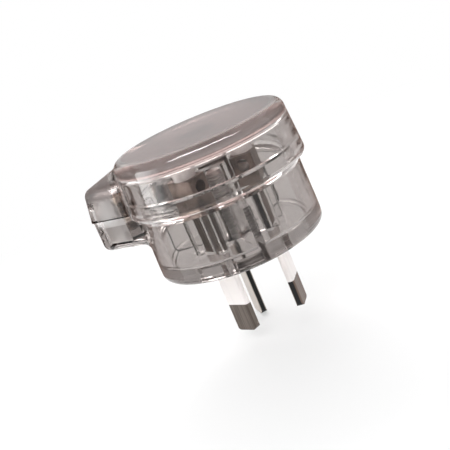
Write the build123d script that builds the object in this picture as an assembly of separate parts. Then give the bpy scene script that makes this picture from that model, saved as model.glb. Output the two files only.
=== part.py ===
from build123d import *
from math import hypot, radians, tan
import os

# A clear, rewirable plug with three flat pins and a side cord entry, in millimetres.
# The origin is the centre of the pin pattern on the pin face. +Z runs up to the cover,
# the pins point down, and the earth pin stands at +Y.

# Flat pins of the standard three-pin pattern
PIN_WIDTH = 6.35
PIN_THICKNESS = 1.63
PIN_EDGE_ROUND = 0.7
PIN_TIP_ROUND = 1.4
LINE_PIN_RADIUS = 7.92
LINE_PIN_LENGTH = 17.06
LINE_PIN_SPREAD = 120.0
EARTH_PIN_RADIUS = 10.31
EARTH_PIN_LENGTH = 19.94
EARTH_ANGLE = 90.0

# Insulating sleeves, flush with the bare pin tips
SLEEVE_LENGTH = 10.5
SLEEVE_EMBED = 2.0
SLEEVE_WALL = 0.35

# Terminals and their screws
TERMINAL_LENGTH = 7.5
TERMINAL_DEPTH = 5.0
TERMINAL_HEIGHT = 6.8
TERMINAL_ROUND = 0.5
BLADE_GRIP = 2.6
WIRE_BORE = 2.8
WIRE_FLOOR = 0.5
TERMINAL_SCREW = 3.5
TERMINAL_HEAD = 5.2
TERMINAL_HEAD_HEIGHT = 3.6

# Base moulding
FLOOR = 3.2
RIB_HEIGHT = 10.4
RIB_WIDTH = 1.5
PARTITION_HEIGHT = 9.4
PARTITION_WIDTH = 1.6
FOOT_FLARE = 0.5
FOOT_ROUND = 1.8
SHOULDER_Z = 14.6
SPIGOT_HEIGHT = 4.7
SPIGOT_WALL = 1.8
SPIGOT_STEP = 0.6
SPIGOT_LEAD = 0.4
CAVITY_ROUND = 1.2

# Cover moulding
COVER_BULGE = 2.0
COVER_BULGE_RISE = 1.9
COVER_BULGE_BOW = 0.15
COVER_BULGE_ROUND = 1.2
COVER_TOP_LIP = 0.9
COVER_TOP_ROUND = 2.3
COVER_WALL = 2.6
COVER_ROOF = 3.4
COVER_CAVITY_ROUND = 1.6

# Cord entry nub, half on the base and half on the cover
CORD_DIAMETER = 7.4
CORD_MOUTH = 0.7
NUB_ANGLE = 143.0
NUB_LENGTH = 11.1
NUB_TAPER = 15.0
NUB_SIDE_ROOM = 1.75
NUB_UNDER = 4.1
NUB_RISE = 2.4
NUB_HEADROOM = 0.8
NUB_WALL = 1.8
NUB_END_DRAFT = 13.0
NUB_RAMP = 18.0
NUB_HIP = 42.0
NUB_CROWN_DROP = 0.8
NUB_EAVES_ROUND = 2.4
NUB_STEP = 0.35
NUB_FLARE = 2.0
NUB_CORNER = 2.0
NUB_LOWER_ROUND = 1.9

# Cover screw and the two bosses that meet on the axis
BOSS_DIAMETER = 8.8
BOSS_GAP = 0.3
COVER_SCREW = 4.0
COVER_SCREW_GRIP = 5.5
COVER_SCREW_HEAD = 6.6
COVER_SCREW_HEAD_HEIGHT = 2.4
COVER_SCREW_RECESS = 0.6

# Cord clamp bar and its two screws
CLAMP_STANDOFF = 1.5
CLAMP_RISE = 1.0
CLAMP_WEB = 0.6
CLAMP_BAR_WIDTH = 4.4
CLAMP_BAR_THICKNESS = 2.2
CLAMP_TOOTH = 0.7
CLAMP_TOOTH_PITCH = 1.8
CLAMP_TOOTH_SPAN = 6.0
CLAMP_SCREW = 2.6
CLAMP_SCREW_LENGTH = 7.0
CLAMP_SCREW_HEAD = 3.6
CLAMP_SCREW_HEAD_HEIGHT = 1.6

# Screw slots
SLOT_WIDTH = 0.9
SLOT_DEPTH = 0.9

# Clearances and free room
PIN_CLEARANCE = 0.08
SCREW_CLEARANCE = 0.1
SPIGOT_CLEARANCE = 0.15
SEAM_CLEARANCE = 0.2
HEAD_CLEARANCE = 0.25
BOSS_ROOM = 1.12
EARTH_ROOM = 2.16
WALL_ROOM = 2.42
HEAD_ROOM = 1.7
OVERCUT = 1.0
FUZZ = 0.02

# Heights that follow
TERMINAL_SEAT = FLOOR + RIB_HEIGHT
TERMINAL_TOP = TERMINAL_SEAT + TERMINAL_HEIGHT
WIRE_BORE_Z = TERMINAL_SEAT + BLADE_GRIP + WIRE_FLOOR + WIRE_BORE / 2
PARTITION_TOP = FLOOR + PARTITION_HEIGHT
SPIGOT_TOP = SHOULDER_Z + SPIGOT_HEIGHT
CEILING = TERMINAL_TOP + TERMINAL_HEAD_HEIGHT + HEAD_ROOM
COVER_TOP = CEILING + COVER_ROOF
NUB_SEAM = SHOULDER_Z + NUB_RISE
NUB_BOTTOM = NUB_SEAM - CORD_DIAMETER / 2 - NUB_UNDER
CLAMP_SEAT = NUB_SEAM + CLAMP_RISE
CLAMP_TOP = CLAMP_SEAT + CLAMP_BAR_THICKNESS
NUB_SIDE_TOP = CLAMP_TOP + CLAMP_SCREW_HEAD_HEIGHT + NUB_HEADROOM + NUB_WALL
COVER_BOSS_END = PARTITION_TOP + BOSS_GAP
COVER_SCREW_SEAT = COVER_SCREW_RECESS + COVER_SCREW_HEAD_HEIGHT

# Radii and widths that follow, from the terminals outwards
LINE_TERMINAL_RADIUS = BOSS_DIAMETER / 2 + BOSS_ROOM + TERMINAL_DEPTH / 2
EARTH_TERMINAL_RADIUS = BOSS_DIAMETER / 2 + EARTH_ROOM + TERMINAL_LENGTH / 2
TERMINAL_REACH = hypot(EARTH_TERMINAL_RADIUS + TERMINAL_LENGTH / 2, TERMINAL_DEPTH / 2)
CAVITY_RADIUS = TERMINAL_REACH + WALL_ROOM
SPIGOT_RADIUS = CAVITY_RADIUS + SPIGOT_WALL
SHOULDER_RADIUS = SPIGOT_RADIUS + SPIGOT_STEP
FOOT_RADIUS = SHOULDER_RADIUS + FOOT_FLARE
COVER_TOP_RADIUS = SHOULDER_RADIUS + COVER_TOP_LIP
NUB_REACH = SHOULDER_RADIUS + NUB_LENGTH
NUB_END_WIDTH = CORD_DIAMETER + 2 * (NUB_SIDE_ROOM + NUB_WALL)
CLAMP_RADIUS = SHOULDER_RADIUS + CLAMP_STANDOFF
CLAMP_SPACING = CORD_DIAMETER + CLAMP_SCREW + 2 * CLAMP_WEB


def upright(sketch, low, high):
    """A level sketch raised into a solid between two heights."""
    return Pos(0, 0, low) * extrude(sketch, high - low)


def bar(diameter, low, high):
    """A round bar on the axis between two heights."""
    return upright(Circle(diameter / 2), low, high)


def circles(solid):
    """The circular edges of a solid, lowest first."""
    return solid.edges().filter_by(GeomType.CIRCLE).sort_by(Axis.Z)


def line_pin_place(side):
    """Frame of a line pin: X across its width, Y outwards along the radius."""
    return Rot(0, 0, EARTH_ANGLE + side * LINE_PIN_SPREAD - 90) * Pos(0, LINE_PIN_RADIUS, 0)


def earth_pin_place():
    """Frame of the earth pin: X outwards along the radius, Y across its thickness."""
    return Rot(0, 0, EARTH_ANGLE) * Pos(EARTH_PIN_RADIUS, 0, 0)


PIN_PLACES = {
    "neutral": line_pin_place(1),
    "active": line_pin_place(-1),
    "earth": earth_pin_place(),
}


def terminal_place(name):
    """Middle of a terminal, in the frame of its pin."""
    if name == "earth":
        return Pos(EARTH_TERMINAL_RADIUS - EARTH_PIN_RADIUS, 0, 0)
    return Pos(0, LINE_TERMINAL_RADIUS - LINE_PIN_RADIUS, 0)


def blade_section(grow):
    """Section of a pin with eased edges, grown on every side."""
    return RectangleRounded(PIN_WIDTH + 2 * grow, PIN_THICKNESS + 2 * grow, PIN_EDGE_ROUND)


def pin(length, sleeved):
    """One flat brass pin with a rounded tip, necked where a sleeve wraps it."""
    top = TERMINAL_SEAT + BLADE_GRIP
    blade = upright(blade_section(0), -length, top)
    flank = Pos(0, (top - length) / 2) * Rectangle(PIN_WIDTH, top + length)
    flank = fillet(flank.vertices().group_by(Axis.Y)[0], PIN_TIP_ROUND)
    blade &= extrude(Plane.XZ * flank, PIN_THICKNESS, both=True)
    return blade - sleeve() if sleeved else blade


def sleeve():
    """White insulating sleeve let into the neck of a line pin."""
    neck = Rectangle(PIN_WIDTH - 2 * SLEEVE_WALL, PIN_THICKNESS - 2 * SLEEVE_WALL)
    return upright(blade_section(0) - neck, -SLEEVE_LENGTH, SLEEVE_EMBED)


def terminal(name):
    """Brass block that grips the pin's upper end, with a wire bore and a screw hole."""
    plan = RectangleRounded(TERMINAL_LENGTH, TERMINAL_DEPTH, TERMINAL_ROUND)
    block = upright(plan, TERMINAL_SEAT, TERMINAL_TOP)
    across = Rot(90, 0, 0) if name == "earth" else Rot(0, 90, 0)
    block -= Pos(0, 0, WIRE_BORE_Z) * across * Cylinder(WIRE_BORE / 2, 2 * TERMINAL_LENGTH)
    block -= bar(TERMINAL_SCREW + 2 * SCREW_CLEARANCE, WIRE_BORE_Z, TERMINAL_TOP + OVERCUT)
    slot = blade_section(PIN_CLEARANCE)
    return terminal_place(name) * block - upright(slot, FLOOR, TERMINAL_SEAT + BLADE_GRIP)


def screw(shank, length, head, head_height):
    """A slotted cheese-head screw with its head seat at the origin and its shank downwards."""
    body = bar(shank, -length, 0) + bar(head, 0, head_height)
    body = chamfer(circles(body)[-1], SLOT_DEPTH / 4)
    body = chamfer(circles(body)[0], shank / 8)
    slot = Rectangle(head + OVERCUT, SLOT_WIDTH)
    return body - upright(slot, head_height - SLOT_DEPTH, head_height + OVERCUT)


def terminal_screws():
    """The three wire screws, each down to the middle of its wire bore."""
    one = screw(TERMINAL_SCREW, TERMINAL_TOP - WIRE_BORE_Z, TERMINAL_HEAD, TERMINAL_HEAD_HEIGHT)
    raised = Pos(0, 0, TERMINAL_TOP) * one
    return [place * terminal_place(name) * raised for name, place in PIN_PLACES.items()]


def nub_half_width(reach):
    """Half the width of the nub at a distance from the plug's axis."""
    return NUB_END_WIDTH / 2 + (NUB_REACH - reach) * tan(radians(NUB_TAPER))


def nub_wedge(grow, root=0):
    """Plan of the tapered nub, along X from its root, grown all round."""
    end = NUB_REACH + grow
    end_half = nub_half_width(end) + grow
    root_half = nub_half_width(root) + grow
    corners = [(root, -root_half), (end, -end_half), (end, end_half), (root, root_half)]
    return make_face(Polyline(*corners, close=True))


def nub_plan(grow, root=0):
    """The nub's plan with its end corners rounded."""
    wedge = nub_wedge(grow, root)
    return fillet(wedge.vertices().group_by(Axis.X)[-1], NUB_CORNER)


def wall_radius(height):
    """Radius of the base wall at a height, widest at its foot."""
    return FOOT_RADIUS - FOOT_FLARE * height / SHOULDER_Z


def on_base_wall(edge):
    """Whether an edge lies on the drafted wall, on the nub's side and under the shoulder."""
    middle = edge @ 0.5
    near = abs(hypot(middle.X, middle.Y) - wall_radius(middle.Z)) < FUZZ
    return near and middle.X > 0 and NUB_BOTTOM / 2 < middle.Z < SHOULDER_Z - FUZZ


def on_cover_wall(edge):
    """Whether an edge lies where the cover's half of the nub grows out of the cover."""
    middle = edge @ 0.5
    near = hypot(middle.X, middle.Y) < SHOULDER_RADIUS + COVER_BULGE
    curved = edge.geom_type != GeomType.LINE
    return near and curved and middle.X > 0 and NUB_SEAM + FUZZ < middle.Z < COVER_TOP - FUZZ


def climbs(edge):
    """Whether an edge of the nub rises, away from the plug's axis."""
    return abs((edge % 0.5).Z) > FUZZ and (edge @ 0.5).X > CAVITY_RADIUS


def base_outside():
    """Outer form of the base in the nub's frame: drafted wall, spigot and half of the nub."""
    outline = Polyline(
        (0, 0),
        (FOOT_RADIUS, 0),
        (SHOULDER_RADIUS, SHOULDER_Z),
        (SPIGOT_RADIUS, SHOULDER_Z),
        (SPIGOT_RADIUS, SPIGOT_TOP),
        (0, SPIGOT_TOP),
        close=True,
    )
    shell = Rot(0, 0, 180) * revolve(make_face(Plane.XZ * outline), Axis.Z)
    shell = fillet(circles(shell)[0], FOOT_ROUND)
    shell = chamfer(circles(shell)[-1], SPIGOT_LEAD)
    block = upright(nub_plan(0, CAVITY_RADIUS / 2), NUB_BOTTOM, SHOULDER_Z)
    rim = block.faces().sort_by(Axis.Z)[0].edges().sort_by(Axis.X)[1:]
    shell += fillet(rim, NUB_LOWER_ROUND)
    shell = fillet([e for e in shell.edges() if on_base_wall(e)], NUB_FLARE)
    return shell + upright(nub_plan(0, CAVITY_RADIUS), SHOULDER_Z, NUB_SEAM)


def roof_cut(eaves, cap, draft, pitch, brow):
    """What lies outside a leaning wall and the pitched roof over it, with X out of the wall."""
    lean = tan(radians(draft))
    slope = tan(radians(pitch))
    inset = (eaves - NUB_SEAM) * lean
    low = NUB_SEAM - OVERCUT
    high = cap + OVERCUT
    outline = Polyline(
        (NUB_REACH, low),
        (OVERCUT * lean, low),
        (-inset, eaves),
        (-inset - (high - eaves) / slope, high),
        (NUB_REACH, high),
        close=True,
    )
    section = make_face(outline)
    if brow > 0:
        section = fillet(section.vertices().sort_by_distance((-inset, eaves, 0))[0], brow)
    return extrude(Plane.XZ * section, 2 * NUB_REACH, both=True)


def upper_nub(grow, cap, brow):
    """The cover's half of the nub: a leaning end and upright sides under a hipped roof."""
    block = upright(nub_wedge(grow), NUB_SEAM, cap)
    eaves = NUB_SIDE_TOP + min(grow, 0)
    end = NUB_REACH + grow
    block -= Pos(end, 0, 0) * roof_cut(eaves, cap, NUB_END_DRAFT, NUB_RAMP, brow)
    for side in (1, -1):
        wall = Pos(end, side * (nub_half_width(end) + grow), 0) * Rot(0, 0, side * (90 - NUB_TAPER))
        block -= wall * roof_cut(eaves, cap, 0, NUB_HIP, brow)
    return block


def cord_way():
    """The round way for the cord, with a flared mouth at the nub's end."""
    start = CAVITY_RADIUS - SPIGOT_WALL
    length = NUB_REACH + OVERCUT - start
    radius = CORD_DIAMETER / 2
    way = Pos(start + length / 2, 0, 0) * Rot(0, 90, 0) * Cylinder(radius, length)
    wide = radius + CORD_MOUTH + NUB_STEP
    mouth = Cone(radius, wide, CORD_MOUTH + NUB_STEP)
    way += Pos(NUB_REACH + NUB_STEP / 2 - CORD_MOUTH / 2, 0, 0) * Rot(0, 90, 0) * mouth
    return Pos(0, 0, NUB_SEAM) * way


def clamp_spots(height):
    """The two places of the cord clamp's screws at a height."""
    return [Pos(CLAMP_RADIUS, side * CLAMP_SPACING / 2, height) for side in (1, -1)]


def clamp_bar():
    """The bar that holds the cord, with two grip teeth across its underside."""
    plan = Pos(CLAMP_RADIUS, 0) * SlotCenterToCenter(CLAMP_SPACING, CLAMP_BAR_WIDTH, rotation=90)
    strip = upright(plan & nub_plan(-NUB_WALL - SEAM_CLEARANCE), CLAMP_SEAT, CLAMP_TOP)
    tooth = Polyline((-CLAMP_TOOTH, 0), (0, -CLAMP_TOOTH), (CLAMP_TOOTH, 0), close=True)
    tooth = extrude(make_face(Plane.XZ * tooth), CLAMP_TOOTH_SPAN / 2, both=True)
    for side in (1, -1):
        strip += Pos(CLAMP_RADIUS + side * CLAMP_TOOTH_PITCH / 2, 0, CLAMP_SEAT) * tooth
    hole = bar(CLAMP_SCREW + 2 * SCREW_CLEARANCE, -OVERCUT, CLAMP_BAR_THICKNESS + OVERCUT)
    for spot in clamp_spots(CLAMP_SEAT):
        strip -= spot * hole
    return nub() * strip


def clamp_screws():
    """The two screws of the cord clamp."""
    one = screw(CLAMP_SCREW, CLAMP_SCREW_LENGTH, CLAMP_SCREW_HEAD, CLAMP_SCREW_HEAD_HEIGHT)
    return [nub() * spot * one for spot in clamp_spots(CLAMP_TOP)]


def nub():
    """Frame of the cord entry: X outwards along the cord."""
    return Rot(0, 0, NUB_ANGLE)


def clamp_posts():
    """Posts in the nub that carry the clamp bar, trimmed where they rise into the cover."""
    posts = [spot * bar(CLAMP_BAR_WIDTH, 0, CLAMP_SEAT) for spot in clamp_spots(0)]
    inner = upright(nub_plan(-NUB_WALL - SEAM_CLEARANCE), NUB_SEAM, CLAMP_SEAT)
    floor = upright(nub_plan(0), NUB_BOTTOM + NUB_WALL / 2, NUB_SEAM)
    return [post & (inner + floor) for post in posts]


def clamp_pilots():
    """Pilot holes for the clamp screws."""
    depth = CLAMP_SCREW_LENGTH - CLAMP_BAR_THICKNESS
    hole = bar(CLAMP_SCREW + 2 * SCREW_CLEARANCE, -depth - SCREW_CLEARANCE, OVERCUT)
    return [spot * hole for spot in clamp_spots(CLAMP_SEAT)]


def base_cavity():
    """The room inside the base wall, with a rounded lower corner."""
    room = bar(2 * CAVITY_RADIUS, FLOOR, SPIGOT_TOP + OVERCUT)
    return fillet(circles(room)[0], CAVITY_ROUND)


def partitions():
    """Three walls from the middle boss to the outer wall, one between each pair of pins."""
    half_turn = LINE_PIN_SPREAD / 2
    length = CAVITY_RADIUS + SPIGOT_WALL / 2
    wall = Pos(length / 2, 0) * Rectangle(length, PARTITION_WIDTH)
    solid = upright(wall, FLOOR - OVERCUT, PARTITION_TOP)
    return [Rot(0, 0, EARTH_ANGLE + turn) * solid for turn in (half_turn, -half_turn, 180)]


def terminal_ribs():
    """Pairs of ribs that carry the terminals and guide the pins."""
    solid = upright(Rectangle(RIB_WIDTH, TERMINAL_DEPTH), FLOOR - OVERCUT, TERMINAL_SEAT)
    reach = (TERMINAL_LENGTH - RIB_WIDTH) / 2
    pair = [Pos(side * reach, 0, 0) * solid for side in (1, -1)]
    return [place * terminal_place(name) * rib for name, place in PIN_PLACES.items() for rib in pair]


def base():
    """Clear base: pin face, wall, spigot, partitions, ribs, boss and the lower half of the nub."""
    shell = nub() * base_outside()
    shell -= base_cavity()
    pocket = nub_plan(-NUB_WALL) - Circle(SHOULDER_RADIUS)
    shell -= nub() * upright(pocket, NUB_BOTTOM + NUB_WALL, NUB_SEAM + OVERCUT)
    shell -= nub() * upright(nub_plan(-NUB_WALL), NUB_SEAM, SPIGOT_TOP + OVERCUT)
    shell += [nub() * post for post in clamp_posts()]
    shell -= [nub() * pilot for pilot in clamp_pilots()]
    shell -= nub() * cord_way()
    shell += partitions()
    shell += terminal_ribs()
    shell += bar(BOSS_DIAMETER, FLOOR - OVERCUT, PARTITION_TOP)
    slot = upright(blade_section(PIN_CLEARANCE), -OVERCUT, TERMINAL_SEAT + OVERCUT)
    shell -= [place * slot for place in PIN_PLACES.values()]
    shell -= bar(COVER_SCREW + 2 * SCREW_CLEARANCE, 0, PARTITION_TOP + OVERCUT)
    return shell - bar(COVER_SCREW_HEAD + 2 * HEAD_CLEARANCE, -OVERCUT, COVER_SCREW_SEAT)


def cover_turning():
    """The round part of the cover: a bowed lip over the base, a drafted wall and a rounded top edge."""
    lip = (SHOULDER_RADIUS, SHOULDER_Z)
    bulge = (SHOULDER_RADIUS + COVER_BULGE, SHOULDER_Z + COVER_BULGE_RISE)
    top = (COVER_TOP_RADIUS, COVER_TOP)
    bow = SagittaArc(lip, bulge, COVER_BULGE_BOW)
    rest = Polyline(bulge, top, (0, COVER_TOP), (0, SHOULDER_Z), lip)
    body = revolve(make_face(Plane.XZ * (bow + rest)), Axis.Z)
    body = fillet(circles(body)[-1], COVER_TOP_ROUND)
    widest = circles(body).sort_by(lambda e: e.radius)[-1]
    return fillet(widest, COVER_BULGE_ROUND)


def cover_outside():
    """Outer form of the cover in the nub's frame, with its half of the nub rounded into it."""
    block = upper_nub(NUB_STEP, COVER_TOP - NUB_CROWN_DROP, NUB_EAVES_ROUND)
    block = fillet([e for e in block.edges() if climbs(e)], NUB_CORNER)
    shell = Rot(0, 0, 180) * cover_turning() + block
    return fillet([e for e in shell.edges() if on_cover_wall(e)], NUB_FLARE)


def cover_cavity():
    """The room in the cover: a recess over the spigot and the space above the terminals."""
    recess = bar(2 * (SPIGOT_RADIUS + SPIGOT_CLEARANCE), SHOULDER_Z - OVERCUT, SPIGOT_TOP + SEAM_CLEARANCE)
    room = bar(2 * (COVER_TOP_RADIUS - COVER_WALL), SPIGOT_TOP, CEILING)
    return recess + fillet(circles(room)[-1], COVER_CAVITY_ROUND)


def cover():
    """Clear cover with the upper half of the nub and the boss that takes the cover screw."""
    shell = nub() * cover_outside()
    shell -= cover_cavity()
    shell -= nub() * upper_nub(-NUB_WALL, CEILING - COVER_CAVITY_ROUND, 0)
    notch = nub_plan(SEAM_CLEARANCE, CAVITY_RADIUS - SEAM_CLEARANCE)
    shell -= nub() * upright(notch, SHOULDER_Z - OVERCUT, NUB_SEAM)
    shell -= nub() * cord_way()
    shell += bar(BOSS_DIAMETER, COVER_BOSS_END, CEILING + COVER_ROOF / 2)
    hole = COVER_SCREW + 2 * SCREW_CLEARANCE
    return shell - bar(hole, COVER_BOSS_END - OVERCUT, COVER_BOSS_END + COVER_SCREW_GRIP + OVERCUT)


def cover_screw():
    """The screw that holds the cover, put in from the pin face."""
    length = COVER_BOSS_END + COVER_SCREW_GRIP - COVER_SCREW_SEAT
    one = screw(COVER_SCREW, length, COVER_SCREW_HEAD, COVER_SCREW_HEAD_HEIGHT)
    return Pos(0, 0, COVER_SCREW_SEAT) * Rot(180, 0, 0) * one


def pieces():
    """Every piece of the plug by name."""
    made = {
        "base": base(),
        "cover": cover(),
        "cover_screw": cover_screw(),
        "cord_clamp": clamp_bar(),
        "cord_clamp_screws": Compound(children=clamp_screws()),
        "terminal_screws": Compound(children=terminal_screws()),
    }
    for name, place in PIN_PLACES.items():
        sleeved = name != "earth"
        length = LINE_PIN_LENGTH if sleeved else EARTH_PIN_LENGTH
        made[name + "_pin"] = place * pin(length, sleeved)
        made[name + "_terminal"] = place * terminal(name)
        if sleeved:
            made[name + "_sleeve"] = place * sleeve()
    return made


os.makedirs("parts", exist_ok=True)
for node, solid in pieces().items():
    export_step(solid, "parts/" + node + ".step")
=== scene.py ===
"""Looks of a clear rewirable plug with three flat pins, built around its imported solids.

Lengths are millimetres and angles are degrees in the classes, and lengths are metres in Blender.
The frame is the solids' own: the origin is the middle of the pin pattern on the pin face, +Z runs
up to the cover and +Y to the earth pin.
"""
import logging
import math
from dataclasses import dataclass
from enum import Enum
from typing import Dict, List, Optional, Sequence, Tuple, Union

import bpy
import numpy as np
from mathutils import Matrix, Vector


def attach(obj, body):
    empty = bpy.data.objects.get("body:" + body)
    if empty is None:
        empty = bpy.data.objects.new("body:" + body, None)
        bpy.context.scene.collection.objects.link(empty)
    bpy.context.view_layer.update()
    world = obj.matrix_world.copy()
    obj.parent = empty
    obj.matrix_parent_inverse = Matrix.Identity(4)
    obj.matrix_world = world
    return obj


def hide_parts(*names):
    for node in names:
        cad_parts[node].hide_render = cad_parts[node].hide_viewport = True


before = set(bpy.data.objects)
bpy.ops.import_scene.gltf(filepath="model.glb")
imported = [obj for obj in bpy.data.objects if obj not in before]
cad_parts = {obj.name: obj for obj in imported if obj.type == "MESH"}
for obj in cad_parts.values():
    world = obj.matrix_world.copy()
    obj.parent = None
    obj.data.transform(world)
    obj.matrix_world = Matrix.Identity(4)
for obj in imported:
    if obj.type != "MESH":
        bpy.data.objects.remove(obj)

MM = 0.001
BODY = "root"
WHITE = (1.0, 1.0, 1.0)
# Edges that turn by more than this stay sharp.
SHARP_ANGLE = 32.0
# From +X round to the middle of the cord nub.
NUB_ANGLE = 143.0
# The point on the plug's axis that the camera and the lamps look at.
LOOKED_AT = (0.0, 0.0, 8.0)

log = logging.getLogger("plug")

Colour = Tuple[float, float, float]
Limits = Tuple[float, float]
Number = Union["Sock", float]
Tone = Union["Sock", Colour]


class Op(Enum):
    """Math node operations that the shaders use."""

    ADD = "ADD"
    SUBTRACT = "SUBTRACT"
    MULTIPLY = "MULTIPLY"
    MAXIMUM = "MAXIMUM"
    ABSOLUTE = "ABSOLUTE"


class Ray(Enum):
    """Kinds of rays that a studio object can be hidden from."""

    CAMERA = "visible_camera"
    DIFFUSE = "visible_diffuse"
    GLOSSY = "visible_glossy"
    TRANSMISSION = "visible_transmission"
    SCATTER = "visible_volume_scatter"
    SHADOW = "visible_shadow"


class Sock:
    """One output socket that takes part in Python arithmetic by adding Math nodes."""

    def __init__(self, graph: "Graph", socket: Optional[bpy.types.NodeSocket]) -> None:
        """Keeps the socket and its graph."""
        self.graph = graph
        self.socket = socket

    def __add__(self, other: Number) -> "Sock":
        """Sum of two values."""
        return self.graph.math(Op.ADD, self, other)

    def __radd__(self, other: Number) -> "Sock":
        """Sum of two values."""
        return self.graph.math(Op.ADD, other, self)

    def __sub__(self, other: Number) -> "Sock":
        """Difference of two values."""
        return self.graph.math(Op.SUBTRACT, self, other)

    def __rsub__(self, other: Number) -> "Sock":
        """Difference of two values."""
        return self.graph.math(Op.SUBTRACT, other, self)

    def __mul__(self, other: Number) -> "Sock":
        """Product of two values."""
        return self.graph.math(Op.MULTIPLY, self, other)

    def __rmul__(self, other: Number) -> "Sock":
        """Product of two values."""
        return self.graph.math(Op.MULTIPLY, other, self)

    def __abs__(self) -> "Sock":
        """Size of a value without its sign."""
        return self.graph.math(Op.ABSOLUTE, self)

    def larger(self, other: Number) -> "Sock":
        """The larger of two values."""
        return self.graph.math(Op.MAXIMUM, self, other)

    def step(self, low: float, high: float) -> "Sock":
        """Smooth step from 0 at low to 1 at high."""
        ends = {"Value": self, "From Min": low, "From Max": high}
        return self.graph.add("ShaderNodeMapRange", {"interpolation_type": "SMOOTHSTEP"}, ends)

    def band(self, limits: Limits) -> "Sock":
        """Smooth step between two limits in millimetres."""
        return self.step(limits[0] * MM, limits[1] * MM)


class Graph:
    """The nodes of one material or world."""

    # Numbers of a Mix node's sockets for colours, because their names repeat.
    MIX_FACTOR = 0
    MIX_FIRST = 6
    MIX_SECOND = 7
    MIX_RESULT = 2

    def __init__(self, tree: bpy.types.NodeTree) -> None:
        """Starts from an empty tree."""
        self.tree = tree
        tree.nodes.clear()

    def add(
        self,
        kind: str,
        settings: Optional[Dict[str, object]] = None,
        sockets: Optional[Dict[Union[str, int], object]] = None,
        out: Union[str, int] = 0,
    ) -> Sock:
        """Adds a node.

        Args:
            kind: Blender's name of the node's type.
            settings: the node's own properties, set first.
            sockets: values or links of its inputs, by name or number; a colour has three numbers.
            out: the output that is wanted.

        Returns:
            The chosen output, or an empty one where the node has none.
        """
        node = self.tree.nodes.new(kind)
        for name, value in (settings or {}).items():
            setattr(node, name, value)
        for name, value in (sockets or {}).items():
            end = node.inputs[name]
            if isinstance(value, Sock):
                self.tree.links.new(value.socket, end)
            elif end.type == "RGBA":
                end.default_value = (*value, 1.0)
            else:
                end.default_value = value
        return Sock(self, node.outputs[out] if len(node.outputs) else None)

    def math(self, operation: Op, *values: Number) -> Sock:
        """A Math node on one or two values."""
        return self.add("ShaderNodeMath", {"operation": operation.value}, dict(enumerate(values)))

    def place(self, stretch: Sequence[float] = (1, 1, 1)) -> Sock:
        """Object coordinates, with X, Y and Z each times its own factor."""
        own = self.add("ShaderNodeTexCoord", out="Object")
        return self.add("ShaderNodeMapping", None, {"Vector": own, "Scale": tuple(stretch)})

    def length(self, vector: Sock) -> Sock:
        """Length of a vector."""
        return self.add("ShaderNodeVectorMath", {"operation": "LENGTH"}, {0: vector}, "Value")

    def along(self, vector: Sock, direction: Sequence[float]) -> Sock:
        """Part of a vector along a direction."""
        ends = {0: vector, 1: tuple(direction)}
        return self.add("ShaderNodeVectorMath", {"operation": "DOT_PRODUCT"}, ends, "Value")

    def blend(self, factor: Sock, first: Tone, second: Tone) -> Sock:
        """A colour between two colours, the first at 0 and the second at 1."""
        ends = {self.MIX_FACTOR: factor, self.MIX_FIRST: first, self.MIX_SECOND: second}
        return self.add("ShaderNodeMix", {"data_type": "RGBA"}, ends, self.MIX_RESULT)

    def mix(self, factor: Sock, first: Sock, second: Sock) -> Sock:
        """A shader between two shaders, the first at 0 and the second at 1."""
        return self.add("ShaderNodeMixShader", None, dict(enumerate((factor, first, second))))

    def seen_ray(self) -> Sock:
        """Tells the rays that show the background: from the camera, off gloss, through plastic.

        Returns:
            1 for those rays and 0 for the others.
        """
        kinds = ("Is Camera Ray", "Is Glossy Ray", "Is Transmission Ray")
        camera, glossy, through = (self.add("ShaderNodeLightPath", out=kind) for kind in kinds)
        return camera.larger(glossy).larger(through)


@dataclass(frozen=True)
class Pattern:
    """Soft noise, with its scale per metre and its stretch on X, Y and Z."""

    scale: float
    detail: float = 2.0
    stretch: Tuple[float, float, float] = (1.0, 1.0, 1.0)

    def on(self, graph: Graph) -> Sock:
        """The noise over a surface, from 0 to 1."""
        ends = {"Vector": graph.place(self.stretch), "Scale": self.scale, "Detail": self.detail}
        return graph.add("ShaderNodeTexNoise", None, ends)


@dataclass(frozen=True)
class Relief:
    """Small bumps: the height of a full step, and how much of it shows."""

    depth: float
    strength: float

    def normal(self, pattern: Sock) -> Sock:
        """Normal of a surface whose height follows a pattern from 0 to 1."""
        ends = {"Height": pattern, "Distance": self.depth * MM, "Strength": self.strength}
        return pattern.graph.add("ShaderNodeBump", None, ends)


@dataclass(frozen=True)
class Span:
    """A value that goes from its start to its end as a mask goes from 0 to 1."""

    start: float
    end: float

    def at(self, mask: Sock) -> Sock:
        """The value that belongs to a mask."""
        return self.start + (self.end - self.start) * mask


@dataclass(frozen=True)
class Finish:
    """A named finish; each kind says what the sockets of its Principled shader take."""

    name: str

    def sockets(self, graph: Graph) -> Dict[str, object]:
        """Values and links of the shader's sockets."""
        raise NotImplementedError

    def surface(self, graph: Graph) -> Sock:
        """The shader of the surface."""
        return graph.add("ShaderNodeBsdfPrincipled", None, self.sockets(graph))

    def outputs(self, graph: Graph) -> Dict[str, Sock]:
        """What the material's output takes."""
        return {"Surface": self.surface(graph)}

    def material(self) -> bpy.types.Material:
        """Makes the finish a material.

        Returns:
            The new material with all its nodes.
        """
        material = bpy.data.materials.new(self.name)
        material.use_nodes = True
        graph = Graph(material.node_tree)
        graph.add("ShaderNodeOutputMaterial", None, self.outputs(graph))
        return material


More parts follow.
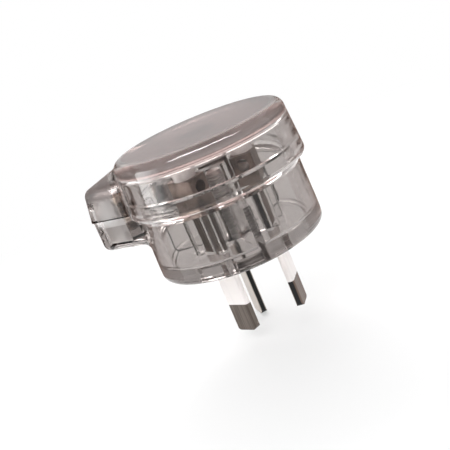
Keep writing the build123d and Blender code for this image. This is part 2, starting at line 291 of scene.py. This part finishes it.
@dataclass(frozen=True)
class ClearPlastic(Finish):
    """Polished clear moulding with a smoky outer skin, a frosted roof and slight flow waves."""

    name: str = "clear_plastic"
    skin: Colour = (0.415, 0.38, 0.367)
    skin_flow: Colour = (0.462, 0.424, 0.41)
    # Dark tint of the roof, and at part strength of the nub's eaves: painted shade that holds back the
    # lamps' light through the top.
    painted_roof_shade: Colour = (0.09, 0.05, 0.045)
    # Pale tint of the lip's band: a painted highlight that brightens the rim lines.
    rim: Colour = (0.88, 0.85, 0.84)
    crown: Colour = (0.66, 0.64, 0.63)
    inner: Colour = (0.97, 0.97, 0.965)
    smoke: Colour = (0.50, 0.475, 0.465)
    smoke_density: float = 34.0
    polish: float = 0.02
    haze: float = 0.05
    frost: float = 0.48
    nub_frost: float = 0.35
    eaves_shade_share: float = 0.55
    ior: float = 1.585
    mirror: float = 0.35
    flow: Pattern = Pattern(160.0)
    fine: Pattern = Pattern(800.0, 3.0)
    wave: Relief = Relief(0.06, 0.6)
    # Radii and heights between which the masks of the round body change.
    wall: Limits = (18.8, 18.95)
    foot: Limits = (1.1, 1.3)
    top: Limits = (27.4, 29.0)
    top_edge: Limits = (17.4, 20.0)
    matt: Limits = (26.8, 28.8)
    corner: Limits = (18.4, 19.6)
    slab: Limits = (25.2, 25.9)
    lip_low: Limits = (15.2, 15.4)
    lip_high: Limits = (17.0, 17.2)
    lip_radius: Limits = (20.2, 20.4)
    # Distances along, across and up the nub between which its masks change.
    nub_root: Limits = (20.4, 20.7)
    nub_end: Limits = (29.2, 29.4)
    nub_flank: Limits = (6.2, 6.4)
    nub_floor: Limits = (9.7, 9.9)
    nub_roof: Limits = (22.9, 23.1)
    nub_eaves: Limits = (21.5, 22.3)
    nub_taper: float = 0.268

    def masks(self, graph: Graph, radius: Sock, height: Sock) -> Tuple[Sock, Sock, Sock]:
        """Tells the outer faces from the inner ones.

        Args:
            graph: the material's graph.
            radius: distance from the plug's axis.
            height: place along the plug's axis.

        Returns:
            Masks of the outer faces, of the nub's frosted faces and of its roof.
        """
        turn = math.radians(NUB_ANGLE)
        reach = graph.along(graph.place(), (math.cos(turn), math.sin(turn), 0))
        side = graph.along(graph.place(), (-math.sin(turn), math.cos(turn), 0))
        flank = abs(side) + (reach - self.nub_end[1] * MM) * self.nub_taper
        nub = flank.band(self.nub_flank).larger(1.0 - height.band(self.nub_floor))
        nub = nub.larger(height.band(self.nub_roof)).larger(reach.band(self.nub_end))
        body = radius.band(self.wall).larger(1.0 - height.band(self.foot))
        in_nub = reach.band(self.nub_root)
        eaves = in_nub * height.band(self.nub_eaves)
        return body + in_nub * (nub - body), eaves.larger(in_nub * (1.0 - nub)), eaves

    def sockets(self, graph: Graph) -> Dict[str, object]:
        """Clear dielectric: pale inside, smoky outside, with a pale tint on the lip's rim as a painted
        highlight and a dark tint on the roof as painted shade.

        Args:
            graph: the material's graph.

        Returns:
            The sockets of the shader.
        """
        flow = self.flow.on(graph)
        radius = graph.length(graph.place((1, 1, 0)))
        height = graph.along(graph.place(), (0, 0, 1))
        outer, channel, eaves = self.masks(graph, radius, height)
        edge = radius.band(self.top_edge)
        # Painted highlight: the lip's band takes the pale rim tint.
        lip_highlight = (height.band(self.lip_low) - height.band(self.lip_high)) * radius.band(self.lip_radius)
        slab = edge * height.band(self.slab) * (1.0 - eaves)
        # Painted shade: the roof, and in part the nub's eaves, take the dark roof tint.
        dark = (height.band(self.top) * (1.0 - edge)).larger(eaves * self.eaves_shade_share)
        skin = graph.blend(flow, self.skin, self.skin_flow)
        skin = graph.blend(lip_highlight, skin, self.rim)
        skin = graph.blend(slab, skin, self.crown)
        tint = graph.blend(outer, self.inner, skin)
        frosted = height.band(self.matt) * (1.0 - radius.band(self.corner))
        polished = self.polish + self.fine.on(graph) * self.haze
        return {
            "Base Color": graph.blend(dark, tint, self.painted_roof_shade),
            "Roughness": polished + frosted * self.frost + channel * self.nub_frost,
            "Normal": self.wave.normal(flow),
            "IOR": self.ior,
            "Transmission Weight": 1.0,
            "Specular Tint": (self.mirror,) * 3,
        }

    def outputs(self, graph: Graph) -> Dict[str, Sock]:
        """The surface, and the smoke inside it.

        Args:
            graph: the material's graph.

        Returns:
            What the material's output takes.
        """
        inside = {"Color": self.smoke, "Density": self.smoke_density}
        smoke = graph.add("ShaderNodeVolumeAbsorption", None, inside)
        return {**super().outputs(graph), "Volume": smoke}


@dataclass(frozen=True)
class DrawnBrass(Finish):
    """Drawn strip for a pin: streaked flat faces, which face one way, and edges painted darker as
    painted shade.
    """

    face_turn: float
    # Tarnished brass tones, set lighter or darker per pin for how light falls on it: painted light and
    # shade.
    face: Colour = (0.10, 0.082, 0.071)
    streak: Colour = (0.185, 0.157, 0.138)
    # Near-black tone of the edges: painted shade.
    edge: Colour = (0.022, 0.022, 0.022)
    streaks: Pattern = Pattern(2600.0, 3.0, (1.0, 1.0, 0.02))
    cloud: Pattern = Pattern(325.0)
    flat: Limits = (0.45, 0.85)
    grain: Limits = (0.35, 0.7)
    streak_share: Span = Span(0.55, 1.15)
    metallic: Span = Span(0.75, 0.95)
    roughness: Span = Span(0.30, 0.48)
    relief: Relief = Relief(0.04, 0.35)

    def sockets(self, graph: Graph) -> Dict[str, object]:
        """Metal whose streaks run along Z and whose edges, told by the surface normal, take the edge
        tone as painted shade.

        Args:
            graph: the material's graph.

        Returns:
            The sockets of the shader.
        """
        turn = math.radians(self.face_turn)
        normal = graph.add("ShaderNodeNewGeometry", out="Normal")
        flat = abs(graph.along(normal, (math.cos(turn), math.sin(turn), 0.0))).step(*self.flat)
        streaks = self.streaks.on(graph)
        grain = streaks.step(*self.grain)
        share = grain * self.streak_share.at(self.cloud.on(graph))
        return {
            "Base Color": graph.blend(flat, self.edge, graph.blend(share, self.face, self.streak)),
            "Metallic": self.metallic.at(flat),
            "Roughness": self.roughness.at(grain),
            "Normal": self.relief.normal(streaks),
        }


@dataclass(frozen=True)
class MachinedBrass(Finish):
    """Machined brass, darkened brown, with fine tool marks and stains."""

    name: str = "terminal_brass"
    bright: Colour = (0.31, 0.245, 0.212)
    stain: Colour = (0.118, 0.094, 0.085)
    marks: Pattern = Pattern(1800.0, 2.0, (0.08, 1.0, 1.0))
    cloud: Pattern = Pattern(260.0, 3.0)
    stained: Limits = (0.35, 0.7)
    metallic: Span = Span(1.0, 0.85)
    roughness: Span = Span(0.28, 0.48)
    relief: Relief = Relief(0.05, 0.4)

    def sockets(self, graph: Graph) -> Dict[str, object]:
        """Metal with tool marks along X and cloudy stains.

        Args:
            graph: the material's graph.

        Returns:
            The sockets of the shader.
        """
        marks = self.marks.on(graph)
        stained = self.cloud.on(graph).step(*self.stained)
        return {
            "Base Color": graph.blend(stained, self.bright, self.stain),
            "Metallic": self.metallic.at(stained),
            "Roughness": self.roughness.at(marks),
            "Normal": self.relief.normal(marks),
        }


@dataclass(frozen=True)
class PlatedSteel(Finish):
    """Bright zinc plating with a faint crystalline mottle."""

    name: str = "plated_steel"
    bright: Colour = (0.95, 0.945, 0.94)
    dull: Colour = (0.80, 0.79, 0.78)
    mottle: Pattern = Pattern(900.0, 4.0)
    dulled: Limits = (0.3, 0.7)
    metallic: Span = Span(0.5, 0.4)
    roughness: Span = Span(0.32, 0.42)
    relief: Relief = Relief(0.02, 0.3)

    def sockets(self, graph: Graph) -> Dict[str, object]:
        """Half metallic plating whose tone and roughness follow a mottle.

        Args:
            graph: the material's graph.

        Returns:
            The sockets of the shader.
        """
        mottle = self.mottle.on(graph).step(*self.dulled)
        return {
            "Base Color": graph.blend(mottle, self.bright, self.dull),
            "Metallic": self.metallic.at(mottle),
            "Roughness": self.roughness.at(mottle),
            "Normal": self.relief.normal(mottle),
        }


@dataclass(frozen=True)
class SatinSleeve(Finish):
    """White satin moulding with faint scuffs along the pin."""

    name: str = "sleeve_white"
    white: Colour = (0.92, 0.875, 0.855)
    scuff: Colour = (0.80, 0.77, 0.755)
    scuffs: Pattern = Pattern(1500.0, 3.0, (1.0, 1.0, 0.06))
    skin: Pattern = Pattern(4500.0)
    scuffed: Limits = (0.5, 0.8)
    scuff_share: float = 0.6
    roughness: Span = Span(0.42, 0.57)
    relief: Relief = Relief(0.02, 0.25)

    def sockets(self, graph: Graph) -> Dict[str, object]:
        """White plastic with scuffs stretched along Z.

        Args:
            graph: the material's graph.

        Returns:
            The sockets of the shader.
        """
        scuffs = self.scuffs.on(graph).step(*self.scuffed)
        return {
            "Base Color": graph.blend(scuffs * self.scuff_share, self.white, self.scuff),
            "Roughness": self.roughness.at(scuffs),
            "Normal": self.relief.normal(self.skin.on(graph)),
        }


@dataclass(frozen=True)
class StudioMatt(Finish):
    """Matt surface of the studio with a faint cloud from one tone to another."""

    tone: Colour
    worn: Colour
    cloud: Pattern = Pattern(20.0)

    def sockets(self, graph: Graph) -> Dict[str, object]:
        """A surface without gloss, clouded."""
        colour = graph.blend(self.cloud.on(graph), self.tone, self.worn)
        return {"Base Color": colour, "Roughness": 1.0, "Specular IOR Level": 0.0}


@dataclass(frozen=True)
class PaleFloor(StudioMatt):
    """White studio floor that keeps a soft shadow."""

    name: str = "pale_floor"
    tone: Colour = (0.93, 0.93, 0.93)
    worn: Colour = (0.90, 0.90, 0.90)
    shade: Colour = (0.76, 0.76, 0.76)
    glow: Span = Span(0.5, 1.0)
    fade: Limits = (60.0, 220.0)

    def surface(self, graph: Graph) -> Sock:
        """Matt white, shown to camera, glossy and transmission rays as the white background.

        To those rays it is a grey that keeps the shadow, mixed with a white glow that grows with
        the distance from the plug until only the glow is left.

        Args:
            graph: the material's graph.

        Returns:
            The shader of the surface.
        """
        light = graph.add("ShaderNodeEmission", None, {"Color": WHITE, "Strength": 1.0})
        shade = graph.add("ShaderNodeBsdfDiffuse", None, {"Color": self.shade})
        away = graph.length(graph.place((1, 1, 0))).band(self.fade)
        shown = graph.mix(self.glow.at(away), shade, light)
        return graph.mix(graph.seen_ray(), super().surface(graph), shown)


def new_object(name: str, data: bpy.types.ID) -> bpy.types.Object:
    """Puts a new object into the scene.

    Args:
        name: the object's name.
        data: its mesh, lamp or camera.

    Returns:
        The object, at the origin.
    """
    made = bpy.data.objects.new(name, data)
    bpy.context.scene.collection.objects.link(made)
    return made


def angles(count: int) -> np.ndarray:
    """Evenly spread angles of a full turn, in radians."""
    return np.linspace(0, 2 * math.pi, count, endpoint=False)


def turned(angle: float) -> Matrix:
    """A turn about Z."""
    return Matrix.Rotation(math.radians(angle), 4, "Z")


@dataclass
class Skin:
    """Points and faces of a surface worked out on a grid."""

    points: np.ndarray
    faces: List[Tuple[int, ...]]

    @staticmethod
    def tube(rows: np.ndarray) -> "Skin":
        """Joins rings of points into a skin with a cap at each end.

        Args:
            rows: array of rings, ring by ring, with the points of a ring in turning order.

        Returns:
            The skin: quads between neighbouring rings, then the first cap and the last.
        """
        count, around = rows.shape[:2]
        index = np.arange(count * around).reshape(count, around)
        low, high = index[:-1], index[1:]
        quads = np.stack([low, np.roll(low, -1, axis=1), np.roll(high, -1, axis=1), high], axis=-1)
        faces = [tuple(q) for q in quads.reshape(-1, 4).tolist()]
        faces += [tuple(index[0, ::-1].tolist()), tuple(index[-1].tolist())]
        return Skin(rows.reshape(-1, 3), faces)

    def __add__(self, other: "Skin") -> "Skin":
        """Two skins as one.

        Args:
            other: the skin whose points and faces come second.

        Returns:
            The joined skin.
        """
        shift = len(self.points)
        moved = [tuple(i + shift for i in face) for face in other.faces]
        return Skin(np.vstack([self.points, other.points]), self.faces + moved)

    def placed(self, matrix: Matrix) -> "Skin":
        """The skin moved by a matrix in millimetres."""
        move = np.array(matrix)
        return Skin(self.points @ move[:3, :3].T + move[:3, 3], self.faces)

    def to_object(self, name: str) -> bpy.types.Object:
        """Makes the skin a smooth mesh with sharp creases, in metres.

        Args:
            name: the name of the mesh and of its object.

        Returns:
            The object.
        """
        mesh = bpy.data.meshes.new(name)
        mesh.from_pydata((self.points * MM).tolist(), [], self.faces)
        mesh.polygons.foreach_set("use_smooth", np.ones(len(mesh.polygons), bool))
        mesh.set_sharp_from_angle(angle=math.radians(SHARP_ANGLE))
        mesh.update()
        return new_object(name, mesh)


def dress(piece: bpy.types.Object, material: bpy.types.Material) -> None:
    """Gives a piece one material.

    Args:
        piece: the object to dress.
        material: its finish.
    """
    piece.data.materials.clear()
    piece.data.materials.append(material)
    log.info("%s wears %s", piece.name, material.name)


def dress_solids(nodes: Sequence[str], material: bpy.types.Material) -> None:
    """Gives solids, which keep their shape, one material."""
    for node in nodes:
        dress(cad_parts[node], material)


def add_piece(skin: Skin, name: str, node: str, material: bpy.types.Material) -> None:
    """Puts a new piece in the place of a solid.

    Args:
        skin: the piece's surface.
        name: the piece's name.
        node: the solid that it stands for.
        material: its finish.
    """
    piece = skin.to_object(name)
    dress(piece, material)
    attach(piece, BODY)
    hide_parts(node)
    log.info("%s stands for %s with %d faces", name, node, len(skin.faces))


@dataclass(frozen=True)
class SlottedScrew:
    """A cheese-head screw, head up, with the underside of its head at the origin."""

    shank: float
    length: float
    head: float
    head_height: float
    pitch: float = 0.7
    thread_depth: float = 0.32
    thread_flat: float = 0.1
    runout_turns: float = 1.2
    tip_share: float = 0.125
    slot_width: float = 0.9
    slot_depth: float = 0.9
    slot_draft: float = 0.02
    rim: float = 0.28
    rim_share: float = 0.96
    side_share: float = 0.985
    neck_gap: float = 0.2
    around: int = 48
    per_turn: int = 10
    rows: int = 61

    def head_skin(self) -> Skin:
        """The slotted head.

        The path is Y across the head, almost from side to side. At each y the ring is the head's
        section: its width is the chord of the head's circle, its floor is level, and its top is
        the height of the rounded rim, lowered to the slot's floor where y is within the slot.

        Returns:
            The head's closed skin.
        """
        radius = self.head / 2
        half = self.slot_width / 2
        near, far = half - self.slot_draft, half + self.slot_draft
        across = radius * np.sin(np.linspace(-0.5, 0.5, self.rows) * math.pi * self.side_share)
        y = np.unique(np.concatenate([across, [-far, -near, near, far]]))
        s = np.sin(np.linspace(-0.5, 0.5, self.around // 2) * math.pi)
        x = np.sqrt(radius**2 - y**2)[:, None] * s[None, :]
        reach = np.hypot(x, y[:, None])
        drop = np.clip((reach - (radius - self.rim)) / self.rim, 0, 1)
        top = self.head_height - self.rim * (1 - np.sqrt(1 - self.rim_share * drop**2))
        top = np.where((np.abs(y) < half)[:, None], self.head_height - self.slot_depth, top)
        span = np.broadcast_to(y[:, None], x.shape)
        upper = np.stack([x, span, top], axis=-1)
        lower = np.stack([x, span, np.zeros_like(x)], axis=-1)[:, ::-1]
        return Skin.tube(np.concatenate([upper, lower], axis=1)[:, ::-1])

    def shank_skin(self) -> Skin:
        """The threaded shank.

        Radius at an angle u and a height z is the shank's, less the thread's depth times a
        triangle wave of z / pitch - u / turn with its crests and roots cut flat. The wave fades
        out under the head, where the shank runs plain into the head, and the tip is chamfered.

        Returns:
            The shank's closed skin, which ends inside the head.
        """
        z = np.linspace(-self.length, 0, int(self.length / self.pitch * self.per_turn) + 1)
        u = angles(self.around)
        phase = z[:, None] / self.pitch - u[None, :] / (2 * math.pi)
        wave = np.abs(2 * (phase % 1) - 1)
        crest = np.clip((wave - self.thread_flat) / (1 - 2 * self.thread_flat), 0, 1)
        fade = np.clip(-z / (self.runout_turns * self.pitch), 0, 1)[:, None]
        radius = self.shank / 2 - self.thread_depth * (1 - crest) * fade
        chamfer = self.shank * self.tip_share
        tip = np.clip(1 - (z + self.length) / chamfer, 0, 1)[:, None]
        radius = np.minimum(radius, self.shank / 2 - tip * chamfer)
        height = np.broadcast_to(z[:, None], radius.shape)
        rings = np.stack([radius * np.cos(u), radius * np.sin(u), height], axis=-1)
        neck_top = self.head_height - self.slot_depth - self.neck_gap
        neck = rings[-1:] * [1, 1, 0] + [0, 0, neck_top]
        return Skin.tube(np.concatenate([rings, neck]))

    def skin(self) -> Skin:
        """Head and shank."""
        return self.head_skin() + self.shank_skin()


@dataclass
class Housing:
    """Clear base, cover and cord clamp bar, which keep their solids."""

    nodes: Tuple[str, ...] = ("base", "cover", "cord_clamp")
    finish: ClearPlastic = ClearPlastic()

    def build(self) -> None:
        """Dresses the clear solids."""
        dress_solids(self.nodes, self.finish.material())


@dataclass
class Pins:
    """The three flat pins, each with its own facing and its own painted light and shade, and the two
    sleeves, which keep their solids.
    """

    # One tarnished brass, toned per pin for how light falls on it: painted light on the earth pin's
    # faces and the neutral pin's edges, painted shade on the line pins' faces.
    finishes: Tuple[Tuple[str, DrawnBrass], ...] = (
        ("neutral_pin", DrawnBrass("pin_brass_neutral", 210.0, edge=(0.15, 0.125, 0.108))),
        (
            "active_pin",
            DrawnBrass("pin_brass_active", -30.0, (0.135, 0.092, 0.073), (0.20, 0.145, 0.12)),
        ),
        ("earth_pin", DrawnBrass("pin_brass_earth", 0.0, (0.48, 0.435, 0.395), (0.60, 0.55, 0.505))),
    )
    sleeves: Tuple[str, ...] = ("neutral_sleeve", "active_sleeve")
    sleeve_finish: SatinSleeve = SatinSleeve()

    def build(self) -> None:
        """Dresses the pins and the sleeves."""
        for node, finish in self.finishes:
            dress_solids([node], finish.material())
        dress_solids(self.sleeves, self.sleeve_finish.material())


@dataclass
class Terminals:
    """The three brass terminals, which keep their solids, and their slotted wire screws."""

    nodes: Tuple[str, ...] = ("neutral_terminal", "active_terminal", "earth_terminal")
    finish: MachinedBrass = MachinedBrass()
    line_radius: float = 8.02
    line_turn: float = 120.0
    earth_radius: float = 10.31
    earth_slot_turn: float = 90.0
    top: float = 20.4
    screw: SlottedScrew = SlottedScrew(shank=3.5, length=2.3, head=5.2, head_height=3.6)

    def places(self) -> List[Matrix]:
        """Where the screws stand, with their slots as in the solids.

        Returns:
            A matrix in millimetres for the neutral, the active and the earth screw.
        """
        spots = [
            (self.line_turn, self.line_radius, 0.0),
            (-self.line_turn, self.line_radius, 0.0),
            (0.0, self.earth_radius, self.earth_slot_turn),
        ]
        return [
            turned(turn) @ Matrix.Translation((0, radius, self.top)) @ turned(slot_turn)
            for turn, radius, slot_turn in spots
        ]

    def build(self, steel: bpy.types.Material) -> None:
        """Dresses the blocks and makes the screws.

        Args:
            steel: the finish of the screws.
        """
        dress_solids(self.nodes, self.finish.material())
        one = self.screw.skin()
        neutral, active, earth = (one.placed(place) for place in self.places())
        add_piece(neutral + active + earth, "wire_screws", "terminal_screws", steel)


@dataclass
class CoverFixing:
    """The cover screw from the pin face into the cover's boss."""

    seat: float = 3.0
    screw: SlottedScrew = SlottedScrew(shank=4.0, length=15.4, head=6.6, head_height=2.4)

    def build(self, steel: bpy.types.Material) -> None:
        """Makes the screw, head down.

        Args:
            steel: its finish.
        """
        place = Matrix.Translation((0, 0, self.seat)) @ Matrix.Rotation(math.pi, 4, "X")
        skin = self.screw.skin().placed(place)
        add_piece(skin, "cover_fixing_screw", "cover_screw", steel)


@dataclass
class CordClamp:
    """The two screws of the cord clamp bar, of brighter brass than the terminals."""

    finish: MachinedBrass = MachinedBrass("clamp_screw_brass", (0.86, 0.78, 0.70), (0.66, 0.58, 0.51))
    radius: float = 20.6
    spacing: float = 11.2
    top: float = 20.2
    screw: SlottedScrew = SlottedScrew(
        shank=2.6, length=7.0, head=3.6, head_height=1.6, pitch=0.9, thread_depth=0.3, around=40
    )

    def build(self) -> None:
        """Makes both screws in the nub's frame."""
        half = self.spacing / 2
        spots = [(self.radius, side, self.top) for side in (half, -half)]
        one = self.screw.skin()
        left, right = (one.placed(turned(NUB_ANGLE) @ Matrix.Translation(spot)) for spot in spots)
        brass = self.finish.material()
        add_piece(left + right, "clamp_screws", "cord_clamp_screws", brass)


def hide(thing: bpy.types.Object, rays: Sequence[Ray]) -> None:
    """Hides a studio object from some kinds of rays."""
    for ray in rays:
        setattr(thing, ray.value, False)


@dataclass(frozen=True)
class Card:
    """A dark upright card that stands on the floor and that only reflections show."""

    name: str
    turn: float
    reach: float = 78.0
    width: float = 110.0
    height: float = 100.0
    hidden_from: Tuple[Ray, ...] = (Ray.CAMERA, Ray.DIFFUSE, Ray.TRANSMISSION, Ray.SCATTER, Ray.SHADOW)

    def build(self, floor_z: float, material: bpy.types.Material) -> None:
        """Makes the card: a flat rectangle across the way that it stands from the plug's axis.

        Args:
            floor_z: height of the floor.
            material: the card's finish.
        """
        u = math.radians(self.turn)
        out = np.array([math.cos(u), math.sin(u)]) * self.reach
        half = np.array([-math.sin(u), math.cos(u)]) * self.width / 2
        foot, head = floor_z, floor_z + self.height
        ends = ((-1, foot), (1, foot), (1, head), (-1, head))
        corners = [(*(out + side * half), z) for side, z in ends]
        made = Skin(np.array(corners), [(0, 3, 2, 1)]).to_object(self.name)
        dress(made, material)
        hide(made, self.hidden_from)


@dataclass(frozen=True)
class Lamp:
    """A soft rectangular lamp aimed at the plug, dimmer away from its aim.

    Its radiance is its brightness along its aim, where 1 is as bright as the white background,
    and its spread is the angle to the aim at which its light ends.
    """

    name: str
    spot: Tuple[float, float, float]
    size: Tuple[float, float]
    radiance: float
    spread: float
    hidden_from: Tuple[Ray, ...] = ()

    def build(self) -> None:
        """Makes the lamp.

        Its power is its radiance times pi times its area, times 1 - h / tan h for a spread of h.
        """
        half = math.radians(self.spread)
        data = bpy.data.lights.new(self.name, "AREA")
        data.shape = "RECTANGLE"
        data.size, data.size_y = (side * MM for side in self.size)
        data.spread = 2 * half
        data.energy = self.radiance * math.pi * data.size * data.size_y * (1 - half / math.tan(half))
        made = new_object(self.name, data)
        place = Vector(self.spot) * MM
        aim = Vector(LOOKED_AT) * MM - place
        made.matrix_world = Matrix.Translation(place) @ aim.to_track_quat("-Z", "Y").to_matrix().to_4x4()
        hide(made, self.hidden_from)
        log.info("lamp %s", self.name)


@dataclass
class Studio:
    """Floor, dark cards, soft lamps and white surround."""

    floor_z: float = -20.2
    floor_size: float = 4000.0
    floor_middle: float = 2.0
    floor_sides: int = 96
    floor_finish: PaleFloor = PaleFloor()
    card_finish: StudioMatt = StudioMatt("dark_card", (0.17, 0.11, 0.09), (0.21, 0.14, 0.12))
    cards: Tuple[Card, ...] = (Card("left_card", 133.0), Card("right_card", 23.0))
    lamps: Tuple[Lamp, ...] = (
        Lamp("key", (-160, -240, 320), (260, 260), 7.0, 35.0),
        Lamp("back", (58, 368, 318), (620, 220), 10.5, 45.0, (Ray.GLOSSY,)),
        Lamp("left", (-400, 60, 34), (420, 150), 13.0, 26.0, (Ray.DIFFUSE,)),
        Lamp("rim", (-49, -242, 352), (700, 80), 60.0, 65.0, (Ray.DIFFUSE, Ray.TRANSMISSION)),
    )
    ambient: float = 0.72
    bounces: int = 40

    def floor(self) -> None:
        """A round pale floor under the pin tips: rings of radius times angle, all facing up."""
        u = angles(self.floor_sides)
        r = np.array([self.floor_size / 2, self.floor_middle / 2])[:, None]
        height = np.full((len(r), len(u)), self.floor_z)
        skin = Skin.tube(np.stack([r * np.cos(u), r * np.sin(u), height], axis=-1))
        *ring, _, middle = skin.faces
        made = Skin(skin.points, [*ring, middle]).to_object("floor")
        dress(made, self.floor_finish.material())

    def world(self) -> None:
        """White to rays that show the background, and a plain level of light to the others."""
        world = bpy.data.worlds.new("studio")
        world.use_nodes = True
        graph = Graph(world.node_tree)
        light, seen = (
            graph.add("ShaderNodeBackground", None, {"Color": WHITE, "Strength": strength})
            for strength in (self.ambient, 1.0)
        )
        both = graph.mix(graph.seen_ray(), light, seen)
        graph.add("ShaderNodeOutputWorld", None, {"Surface": both})
        bpy.context.scene.world = world

    def build(self) -> None:
        """Sets up the studio, with enough bounces for light inside clear walls."""
        self.floor()
        dark = self.card_finish.material()
        for card in self.cards:
            card.build(self.floor_z, dark)
        for lamp in self.lamps:
            lamp.build()
        self.world()
        scene = bpy.context.scene
        scene.view_settings.view_transform = "Standard"
        scene.cycles.max_bounces = self.bounces
        scene.cycles.transmission_bounces = self.bounces
        scene.cycles.glossy_bounces = self.bounces


@dataclass
class PhotoCamera:
    """The photograph's camera, with the pixel at which it shows the point that it looks at."""

    lens: float = 71.70
    sensor: float = 36.0
    frame_px: float = 450.0
    point_px: Tuple[float, float] = (230.51, 214.28)
    distance: float = 202.61
    azimuth: float = 11.71
    elevation: float = 14.59
    roll: float = -22.76
    clip_start: float = 10.0

    def turn(self, back: Vector) -> Matrix:
        """Turns the camera from that point to the one in the picture's middle.

        Args:
            back: the way from the plug to the camera.

        Returns:
            The camera's turn, with no move.
        """
        roll = math.radians(self.roll)
        right = (-back).cross(Vector((0, 0, 1))).normalized()
        up = right.cross(-back)
        across = right * math.cos(roll) + up * math.sin(roll)
        above = up * math.cos(roll) - right * math.sin(roll)
        focal_px = self.lens / self.sensor * self.frame_px
        off_x, off_y = ((self.frame_px / 2 - p) / focal_px for p in self.point_px)
        aim = (across * off_x - above * off_y - back).normalized()
        side = aim.cross(above).normalized()
        return Matrix((side, side.cross(aim), -aim)).transposed().to_4x4()

    def build(self) -> None:
        """Makes the camera and puts it to use."""
        az, el = math.radians(self.azimuth), math.radians(self.elevation)
        back = Vector((-math.sin(az) * math.cos(el), -math.cos(az) * math.cos(el), math.sin(el)))
        data = bpy.data.cameras.new("camera")
        data.sensor_width = self.sensor
        data.lens = self.lens
        data.clip_start = self.clip_start * MM
        made = new_object("camera", data)
        place = (Vector(LOOKED_AT) + back * self.distance) * MM
        made.matrix_world = Matrix.Translation(place) @ self.turn(back)
        bpy.context.scene.camera = made


def main() -> None:
    """Builds the plug's looks, piece by piece, and the studio."""
    logging.basicConfig(level=logging.INFO, format="%(message)s")
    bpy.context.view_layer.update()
    steel = PlatedSteel().material()
    Housing().build()
    Pins().build()
    Terminals().build(steel)
    CoverFixing().build(steel)
    CordClamp().build()
    Studio().build()
    PhotoCamera().build()


if __name__ == "__main__":
    main()
